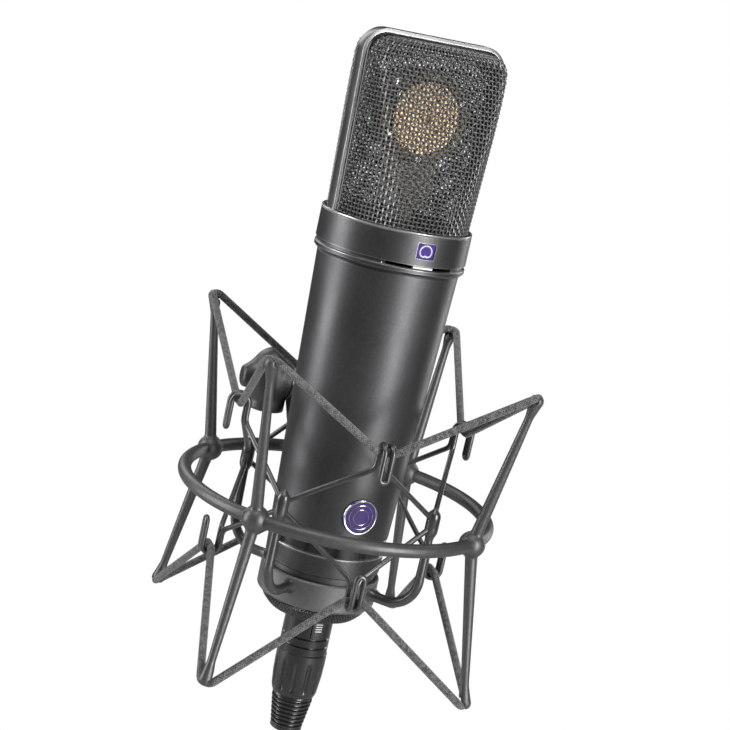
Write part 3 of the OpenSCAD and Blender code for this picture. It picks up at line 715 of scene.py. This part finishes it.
def makeGauze(sideName, turn):
    # Straight wires laid at 45 degrees, seen through the outer mesh
    cells = 60
    grid, normals, tall = headGrid(cells + 1, cells + 1, head["gauzeInset"])
    wide = np.linalg.norm(np.diff(grid[5], axis=0), axis=1).sum()
    parts = []

    def onSkin(u, v):
        c, r = u / wide * cells, v / tall * cells
        c0, r0 = np.clip(c.astype(int), 0, cells - 1), np.clip(r.astype(int), 0, cells - 1)
        fc, fr = (c - c0)[:, None], (r - r0)[:, None]
        result = []
        for field in (grid, normals):
            low = field[r0, c0] * (1 - fc) + field[r0, c0 + 1] * fc
            high = field[r0 + 1, c0] * (1 - fc) + field[r0 + 1, c0 + 1] * fc
            result.append(low * (1 - fr) + high * fr)
        return result

    for direction in (1, -1):
        for offset in np.arange(-tall, wide, head["gauzePitch"] * math.sqrt(2)):
            start, end = max(0.0, -offset), min(tall, wide - offset)
            if end - start < 3:
                continue
            v = np.linspace(start, end, max(3, int((end - start) / 3.5)))
            u = offset + v
            if direction < 0:
                u = wide - u
            points, outward = onSkin(u, v)
            points = points + outward * head["gauzeWire"] * direction * 0.8
            parts.append(tubeAlong(points, head["gauzeWire"], 4, normals=outward))
    place = headPlace @ Matrix.Rotation(turn, 4, "Z")
    addPiece(sideName + "Gauze", joinParts(parts), place, "microphone", gauzeWire,
             stands=("inner_gauze",))


for sideName, turn in (("front", 0.0), ("rear", math.pi)):
    makeGrille(sideName, turn)
    makeGauze(sideName, turn)
print("head mesh and gauze woven")


bar = {
    "half": 2.8,                             # half its width, front to back
    "foot": 27.4, "shoulder": 28.8,          # half the head's width, low and high
    "sink": 1.4, "swell": 0.7, "swellAt": 0.45,
    "cornerSteps": 14,
    # black bead on each side of the bar, a painted shadow between bar and mesh
    "shadowBeadDepth": 2.05, "shadowBeadOut": 3.15, "shadowBeadWire": 0.62,
}


def headOutline(inset):
    # The frame bar's front view from the left foot over the top to the right foot
    top = headTop - collarTop - inset
    corner = head["corner"] - inset
    low, high = bar["foot"] - inset, bar["shoulder"] - inset
    points = [(-low, -bar["sink"]), (-low - bar["swell"], top * bar["swellAt"]), (-high, top - corner)]
    for k in range(1, bar["cornerSteps"] + 1):
        a = math.pi - math.pi / 2 * k / bar["cornerSteps"]
        points.append((-high + corner + corner * math.cos(a), top - corner + corner * math.sin(a)))
    points += [(0.0, top)]
    return points + [(-x, z) for x, z in points[-2::-1]]


def makeHeadFrame():
    half = bar["half"]
    # cross-section as (offset front to back, depth below the outer face)
    section = [(-half + 0.45, 0), (half - 0.45, 0), (half - 0.12, 0.12), (half, 0.45), (half, 1.25),
               (half - 0.35, 1.35), (half - 0.35, 1.65), (half - 0.1, 1.8), (half - 0.1, 2.35),
               (-half + 0.1, 2.35), (-half + 0.1, 1.8), (-half + 0.35, 1.65), (-half + 0.35, 1.35),
               (-half, 1.25), (-half, 0.45), (-half + 0.12, 0.12)]
    rings = [headOutline(depth) for _, depth in section]
    count, faces = len(rings[0]), len(section)
    verts = [(rings[s][k][0], section[s][0], rings[s][k][1]) for k in range(count) for s in range(faces)]
    quads = []
    for k in range(count - 1):
        for s in range(faces):
            t = (s + 1) % faces
            quads.append([k * faces + s, k * faces + t, (k + 1) * faces + t, (k + 1) * faces + s])
    quads += capQuads(0, faces, True) + capQuads((count - 1) * faces, faces, False)
    addPiece("headFrame", (verts, quads, None), headPlace, "microphone", barSatin,
             stands=("head_band",), sharp=50)


def makeShadowBead():
    # Black bead between the frame bar and each mesh: a painted shadow in the gap where the mesh runs under
    # the bar
    parts = []
    for y in (-bar["shadowBeadOut"], bar["shadowBeadOut"]):
        line = [(x, y, z) for x, z in headOutline(bar["shadowBeadDepth"])]
        parts.append(tubeAlong(line, bar["shadowBeadWire"], 8))
    addPiece("headShadowBead", joinParts(parts), headPlace, "microphone", blackPlastic)


makeHeadFrame()
makeShadowBead()


# The capsule's films and clamping rings

capsule = {
    "up": 38.0, "half": 4.6,                 # height above the collar, half its thickness
    "filmRadius": 13.1, "ringRadius": 16.2, "electrode": 1.6,
    "ripple": 0.04, "ripples": 9,            # the film's slight waves
    "terminal": (-17.7, -11.5, 49.0),        # silver lead terminal, from the collar's top
}


def makeCapsule():
    turnFront = Matrix.Rotation(math.pi / 2, 4, "X")
    place = headPlace @ Matrix.Translation((0, 0, capsule["up"])) @ turnFront
    face = capsule["half"]
    electrode = capsule["electrode"]
    film = capsule["filmRadius"]
    rim = capsule["ringRadius"]
    films, rings = [], []
    for side in (1, -1):
        flip = Matrix.Rotation(0 if side > 0 else math.pi, 4, "X")
        outline = [(0.02, face + 0.32), (electrode, face + 0.32), (electrode + 0.3, face + 0.2),
                   (6, face + 0.2), (12.2, face + 0.24), (film, face + 0.3),
                   (film, face + 0.05), (0.02, face + 0.05)]
        verts, quads, uvs = turned(refine(outline, 0.8), 72)
        wave = capsule["ripple"] * np.cos(np.arctan2(verts[:, 1], verts[:, 0]) * capsule["ripples"])
        wave *= (np.hypot(verts[:, 0], verts[:, 1]) / 13) ** 3
        verts[:, 2] += wave * (verts[:, 2] > face + 0.1)
        films.append((np.array([flip @ Vector(v) for v in verts]), quads, uvs))
        outline = [(film + 0.05, face + 0.05), (film + 0.05, face + 0.62), (film + 0.4, face + 0.82),
                   (rim - 0.4, face + 0.82), (rim, face + 0.5), (rim, face + 0.05)]
        verts, quads, uvs = turned(outline, 96)
        rings.append((np.array([flip @ Vector(v) for v in verts]), quads, uvs))
    addPiece("goldDiaphragms", joinParts(films), place, "microphone", goldFilm,
             stands=("diaphragms",))
    addPiece("clampRings", joinParts(rings), place, "microphone", capsuleBrass)


def makeTerminal():
    # The disc that the capsule's lead ends on, with its bent stem
    disc = turned([(0.02, 0), (0.02, 1.4), (1.5, 1.3), (2.3, 0.9), (2.4, 0)], 40)
    stem = tubeAlong([(0, 0, 0.2), (0.4, -0.3, -1.5), (1.8, -1.0, -4.2), (5.2, -3.0, -8.0)], 0.5, 8)
    place = headPlace @ Matrix.Translation(capsule["terminal"]) @ Matrix.Rotation(math.pi / 2, 4, "X")
    addPiece("leadTerminal", joinParts([disc, stem]), place, "microphone", brightMetal)


makeCapsule()
print("capsule made")


# Selector window and polished trim

window = {
    "low": -8.8, "high": -3.3, "radius": 27.5,    # from the collar's top
    "line": 0.3, "size": 1.8,
}
trim = {
    "collarRadius": 27.6, "collarWire": 0.42,
    "lipWire": 0.3,
    "bandRadius": 22.2, "bandWire": 0.2,
    "slotEnds": (-31, 31), "stopRadius": 27.2, "stopWire": 0.32,
}


def polar(radius, azimuth, z):
    # A point round the axis, azimuth in degrees from the front
    a = math.radians(azimuth)
    return np.array([radius * math.sin(a), -radius * math.cos(a), z])


def onBarrel(x, z, radius):
    # A point that stands on the front of a barrel, x measured round it
    a = x / radius
    return (radius * math.sin(a), -radius * math.cos(a), z)


def makeWindowSign():
    # The everyday sign for a heart-shaped pickup pattern, as a raised line on the window
    middle = collarTop + (window["low"] + window["high"]) / 2
    path = []
    for k in range(48):
        t = 2 * math.pi * k / 48
        reach = window["size"] * (1 + math.cos(t))
        low = middle - 0.85 * window["size"]
        path.append(onBarrel(reach * math.sin(t), low + reach * math.cos(t), window["radius"] + 0.06))
    shape = tubeAlong(path, window["line"], 6, closed=True)
    addPiece("patternSign", shape, micPlace, "microphone", signWhite)


def makeTrim():
    # Polished edges of the collar, lip and black band, and the slot's end stops
    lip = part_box("lip_ring")
    lipRadius = (lip[1].x - lip[0].x) / 2 / mm
    lipTop = (lip[1].z - footZ) / mm
    bandLow = (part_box("band_ring")[0].z - footZ) / mm
    rims = [(trim["collarRadius"], collarTop - 0.25, trim["collarWire"]),
            (lipRadius - 0.28, lipTop - 0.5, trim["lipWire"]),
            (trim["bandRadius"], bandLow + 0.1, trim["bandWire"])]
    parts = []
    for radius, z, wire in rims:
        ring = [polar(radius, k * 2, z) for k in range(180)]
        parts.append(tubeAlong(ring, wire, 8, closed=True))
    slotHigh = (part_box("collar")[0].z - footZ) / mm
    for azimuth in trim["slotEnds"]:
        ends = [polar(trim["stopRadius"], azimuth, z) for z in (lipTop - 0.2, slotHigh + 0.4)]
        parts.append(tubeAlong(ends, trim["stopWire"], 8))
    addPiece("brightRims", joinParts(parts), micPlace, "microphone", rimBright)


makeWindowSign()
makeTrim()
makeTerminal()
print("window sign and bright rims made")


# The suspension
cage = {
    "wire": 1.0, "pitch": 3.0,               # hook wire's radius, and its two legs' distance
    "inner": 41.0, "outer": 47.5,            # a hook's two legs, from the axis
    "joint": 41.0, "jointZ": 28.5, "spread": 1.2,    # where the hooks' wires meet the arms
    "upper": (56.7, 48.4, 50.0), "lower": (1.3, 9.9, 7.5),     # bend centre, closed end, foot
    "armBend": 12.0, "armZ": -6.2, "armOver": 6.2, "cup": 22.6,
    "sleeve": 1.05, "sleeveLength": 4.8,     # drawn sleeve where the wires meet the arm
    "weld": 1.1,                             # the arm's flare at the cup
}
sides = (("front", 0), ("right", 90), ("rear", 180), ("left", 270))
corners = (("front_left", -45), ("front_right", 45), ("rear_right", 135), ("rear_left", -135))


def hookPath(levels, up):
    bend, end, foot = levels
    half = cage["pitch"] / 2
    turn = (cage["outer"] - cage["inner"]) / 2
    over = bend + up * turn
    tip = end - up * half
    left = [polar(cage["joint"], -45, cage["jointZ"] + up * cage["spread"]),
            np.array([-half, -cage["inner"], foot]),
            np.array([-half, -cage["inner"], over]),
            np.array([-half, -cage["outer"], over]),
            np.array([-half, -cage["outer"], tip])]
    right = [p * [-1, 1, 1] for p in left[::-1]]
    fillets = [4.0, turn - 0.01, turn - 0.01, half - 0.01]
    return roundedPath(left + right, fillets + fillets[::-1])


def makeHooks():
    for level, up in (("upper", 1), ("lower", -1)):
        path = hookPath(cage[level], up)
        for sideName, azimuth in sides:
            place = cagePlace @ Matrix.Rotation(math.radians(azimuth), 4, "Z")
            shape = tubeAlong(path, cage["wire"], 14)
            name = level + "Hook" + sideName.capitalize()
            addPiece(name, shape, place, "cradle", wireBlack,
                     stands=("%s_hook_%s" % (level, sideName),))


def makeArms():
    radius = cage["joint"]
    low = cage["armZ"]
    top = cage["jointZ"] + cage["armOver"]
    path = [(0, -radius, top), (0, -radius, low), (0, -cage["cup"] + 0.4, low)]
    path = evenly(roundedPath(path, [cage["armBend"]], 0.6), 0.7)
    height = path[:, 2]
    radii = np.interp(height, [low, 12, 22, 24], [1.95, 1.7, 1.55, 1.5])
    sleeve = np.exp(-((height - cage["jointZ"]) / cage["sleeveLength"]) ** 6)
    radii = radii + cage["sleeve"] * sleeve
    radii = radii * np.clip(np.sqrt(np.clip((top - height) / 2.2, 0.02, 1)), 0.1, 1)    # rounded tip
    reach = -path[:, 1] - cage["cup"]
    radii = radii + cage["weld"] * np.exp(-np.clip(reach, 0, 99) / 0.9)
    shape = tubeAlong(path, radii, 20)
    for cornerName, azimuth in corners:
        place = cagePlace @ Matrix.Rotation(math.radians(azimuth), 4, "Z")
        name = "arm" + cornerName.title().replace("_", "")
        addPiece(name, shape, place, "cradle", wireBlack,
                 stands=("cage_arm_" + cornerName,))


elastic = {
    "radius": 1.45,
    "headRadius": 69.4, "upperHead": 85.55, "lowerHead": -32.95,    # where it bends over the posts
    "hookRadius": 44.45, "upperHook": 57.15, "lowerHook": 0.85,     # where it lies in the hooks
    "half": 3.4, "overHead": 2.2,            # half its level run in a hook, and on a post's head
}


def makeElastics():
    for level in ("upper", "lower"):
        headZ, hookZ = elastic[level + "Head"], elastic[level + "Hook"]
        for sideName, azimuth in sides:
            for hand, sign in (("A", -1), ("B", 1)):
                post = polar(elastic["headRadius"], 45 * sign, headZ)
                along = polar(1, 45 * sign + 90 * -sign, 0)
                points = [post, post + along * elastic["overHead"],
                          np.array([sign * elastic["half"], -elastic["hookRadius"], hookZ]),
                          np.array([0, -elastic["hookRadius"], hookZ])]
                path = evenly(roundedPath(points, [2.5, 2.5], 0.4), 0.8)
                shape = tubeAlong(path, elastic["radius"], 16)
                turn = Matrix.Rotation(math.radians(azimuth), 4, "Z")
                name = "%sElastic%s%s" % (level, sideName.capitalize(), hand)
                piece = addPiece(name, shape, cagePlace @ turn, None, elasticBraid,
                                 stands=(level + "_elastic",))
                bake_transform(piece)


makeHooks()
makeArms()
makeElastics()
print("suspension made")


# Captive nut, and the plug's boot, grip and latch

nut = {"teeth": 96, "slant": 3.8, "cut": 0.34, "step": 0.22, "segments": 768}
boot = {"hole": 3.2, "ribs": 7, "pitch": 1.75, "radius": 7.95, "taper": 0.27}
grip = {"flutes": 12, "depth": 0.75, "middle": 8.2, "half": 6.4}
latchRib = {"radius": 9.8, "middle": -23.6, "count": 4, "pitch": 0.95, "half": 1.3, "wire": 0.25}


def makeNut():
    low = (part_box("locking_nut")[0].z - footZ) / mm
    high = (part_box("base_cup")[0].z - footZ) / mm - 0.2
    bore = [(15.05, high), (15.05, low + 10.6), (13.05, low + 10.6), (13.05, low)]
    skinLine = [(15.6, low), (16.6, low + 0.3), (17.6, low + 1.2), (19.3, low + 3.0), (20.3, low + 4.6),
                (20.5, high - 0.7), (20.1, high)]

    def knurl(angle, radius, z):
        # Two sets of slanting cuts leave diamond points on the curved band
        skin = np.clip((radius - 16.2) / 0.8, 0, 1) * np.clip((high - 0.4 - z) / 0.3, 0, 1)
        climb = (z - low) * nut["slant"]
        one = np.cos(angle * nut["teeth"] + climb)
        two = np.cos(angle * nut["teeth"] - climb)
        return skin * nut["cut"] * (np.maximum(one, two) - 0.55)

    outline = bore + refine(skinLine, nut["step"])[:-1] + skinLine[-1:]
    shape = turned(outline, nut["segments"], knurl)
    addPiece("knurledNut", shape, cagePlace, "nut", nutBlack,
             stands=("locking_nut",))


def makeBoot():
    top = (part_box("plug_boot")[1].z - footZ) / mm
    low = (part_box("plug_boot")[0].z - footZ) / mm
    outline = [(boot["hole"], low), (boot["hole"], top), (7.9, top), (8.0, top - 0.5)]
    for k in range(boot["ribs"]):
        z = top - 1.3 - k * boot["pitch"]
        radius = boot["radius"] - boot["taper"] * k
        outline += [(radius - 0.95, z + 0.1), (radius - 1.0, z - 0.25), (radius - 0.9, z - 0.5),
                    (radius - 0.1, z - 0.75), (radius - 0.08, z - 1.3), (radius - 0.35, z - 1.5)]
    outline += [(6.1, low + 1.4), (6.15, low + 0.3), (5.9, low)]
    shape = turned(outline, 96)
    addPiece("ribbedBoot", shape, micPlace, "cable_plug", bootRubber,
             stands=("plug_boot",))


def makeGrip():
    top = (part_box("plug_grip")[1].z - footZ) / mm
    low = (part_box("plug_grip")[0].z - footZ) / mm
    outline = [(6.9, low), (6.9, top), (9.25, top), (9.55, top - 0.35), (9.6, top - 5), (9.45, top - 10),
               (8.9, low + 2), (8.5, low + 0.5), (8.2, low)]

    def flute(angle, radius, z):
        skin = np.clip((radius - 8) / 0.5, 0, 1)
        middle = (z - (low + grip["middle"])) / grip["half"]
        inside = np.clip(1 - middle ** 6, 0, 1)
        wave = np.clip(np.cos(angle * grip["flutes"]) - 0.25, 0, 1)
        return -skin * inside * grip["depth"] * wave ** 0.7

    shape = turned(refine(outline, 0.45), 288, flute)
    addPiece("flutedGrip", shape, micPlace, "cable_plug", blackPlastic,
             stands=("plug_grip",))


def makeLatchRibs():
    # Grip ribs on the latch button
    across = np.linspace(-latchRib["half"], latchRib["half"], 5)
    parts = []
    for k in range(latchRib["count"]):
        z = latchRib["middle"] + (k - 2) * latchRib["pitch"]
        path = [onBarrel(x, z, latchRib["radius"]) for x in across]
        parts.append(tubeAlong(path, latchRib["wire"], 8))
    addPiece("latchRibs", joinParts(parts), micPlace, "latch", whiteKnob)


makeNut()
makeBoot()
makeGrip()
makeLatchRibs()
print("nut, boot, grip and latch ribs made")


# Castings of the swivel, bracket and posts

def makeCasting(name, nodeName, body, slotName, material, cell, passes, flesh=None):
    # The machined solid with every edge and corner run together, as a casting's are.
    # flesh is a path and its radii in millimetres, added first.
    solid = bmesh.new()
    solid.from_mesh(nodes[nodeName].data)
    if flesh is not None:
        verts, quads, _ = tubeAlong(flesh[0], flesh[1], 40)
        extra = bpy.data.meshes.new(name + "Flesh")
        extra.from_pydata([tuple(v * mm) for v in verts], [], [tuple(int(i) for i in q) for q in quads])
        solid.from_mesh(extra)
    work = bpy.data.meshes.new(name + "Work")
    solid.to_mesh(work)
    solid.free()
    copy = bpy.data.objects.new(name + "Work", work)
    scene.collection.objects.link(copy)
    remesh = copy.modifiers.new("remesh", "REMESH")
    remesh.mode = "VOXEL"
    remesh.voxel_size = cell
    smooth = copy.modifiers.new("smooth", "SMOOTH")
    smooth.factor = 0.5
    smooth.iterations = passes
    bpy.context.view_layer.update()
    evaluated = copy.evaluated_get(bpy.context.evaluated_depsgraph_get())
    mesh = bpy.data.meshes.new_from_object(evaluated)
    bpy.data.objects.remove(copy)
    mesh.materials.clear()
    mesh.materials.append(material)
    mesh.shade_smooth()
    piece = bpy.data.objects.new(name, mesh)
    scene.collection.objects.link(piece)
    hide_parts(nodeName)
    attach(piece, body)


casting = {
    # size of the remesh's cells in metres, and passes of smoothing
    "swivel": (0.00045, 12), "bracket": (0.00045, 16), "post": (0.00035, 14),
    # the swivel's left boss: a line of points, and the radius at each
    "bossLine": [(-12.6, 0, 12.4), (-11.6, 0, 12.5), (-10.2, 0, 12.8), (-8.4, 0, 13.2), (-6.6, 0, 13.6),
                 (-4.5, 0, 14)],
    "bossRadii": [3.9, 4.7, 5.1, 6.0, 7.4, 8.8],
}
boss = (casting["bossLine"], casting["bossRadii"])
makeCasting("swivelCasting", "swivel_block", "swivel_base", "cast_black", castBlack,
            *casting["swivel"], flesh=boss)
makeCasting("bracketCasting", "bracket", "ring_frame", "cast_black", castBlack, *casting["bracket"])
for cornerName, _ in corners:
    name = "post" + cornerName.title().replace("_", "")
    makeCasting(name, "post_" + cornerName, "ring_frame", "wire_black", frameSatin, *casting["post"])
print("castings made")


# Badge

taper = {"low": 14.3, "high": 118.1, "lowRadius": 22.5, "highRadius": 26.4}    # the body tube's
badge = {
    "up": 25.7, "lift": 0.82,                # its centre above the foot, and its face above the tube
    "rim": 6.4, "rimWire": 0.42,
    "rings": (4.7, 3.0), "ringWire": 0.16,
}


def onBody(x, z, lift):
    share = (z - taper["low"]) / (taper["high"] - taper["low"])
    radius = taper["lowRadius"] + (taper["highRadius"] - taper["lowRadius"]) * share + lift
    return onBarrel(x, z, radius)


def makeBadge():
    # A plain round plate: bright raised rim and two fine rings in the enamel
    def circle(radius, lift, count=96):
        turns = [2 * math.pi * k / count for k in range(count)]
        return [onBody(radius * math.cos(t), badge["up"] + radius * math.sin(t), lift) for t in turns]

    parts = [tubeAlong(circle(badge["rim"], badge["lift"] - 0.1), badge["rimWire"], 10, closed=True)]
    for radius in badge["rings"]:
        parts.append(tubeAlong(circle(radius, badge["lift"]), badge["ringWire"], 8, closed=True))
    addPiece("badgeRings", joinParts(parts), micPlace, "microphone", brightMetal)


makeBadge()
print("badge made")


# Finishes of the CAD's own pieces

ownFinish = {
    satinBlack: ["collar", "lip_ring", "body_tube", "bottom_ring", "threaded_base"],
    cupSatin: ["base_cup"],
    frameSatin: ["outer_ring"],
    brightMetal: ["thread_bush", "hinge_bolt", "capsule_screws", "socket_pins"],
    platedSteel: ["tooth_washer", "snap_ring", "chassis", "transformer"],
    blackPlastic: ["head_base", "output_socket", "pad_switch", "low_cut_switch", "latch_button",
                   "plug_insert"],
    capsuleBrass: ["capsule_body"],
    ivoryPlastic: ["capsule_post", "plug_chuck"],
    windowViolet: ["pattern_window"],
    badgeEnamel: ["badge"],
    boardGreen: ["amplifier_board"],
    bandGloss: ["band_ring"],
    whiteKnob: ["pattern_switch"],
    padRubber: ["cup_pad"],
    shellBlack: ["plug_shell"],
}
creaseAngle = math.radians(28)     # anything sharper is kept as an edge in the shading
for material, names in ownFinish.items():
    for name in names:
        mesh = nodes[name].data
        mesh.materials.clear()
        mesh.materials.append(material)
        mesh.shade_smooth()
        mesh.set_sharp_from_angle(angle=creaseAngle)
print("finishes given to the CAD's pieces")
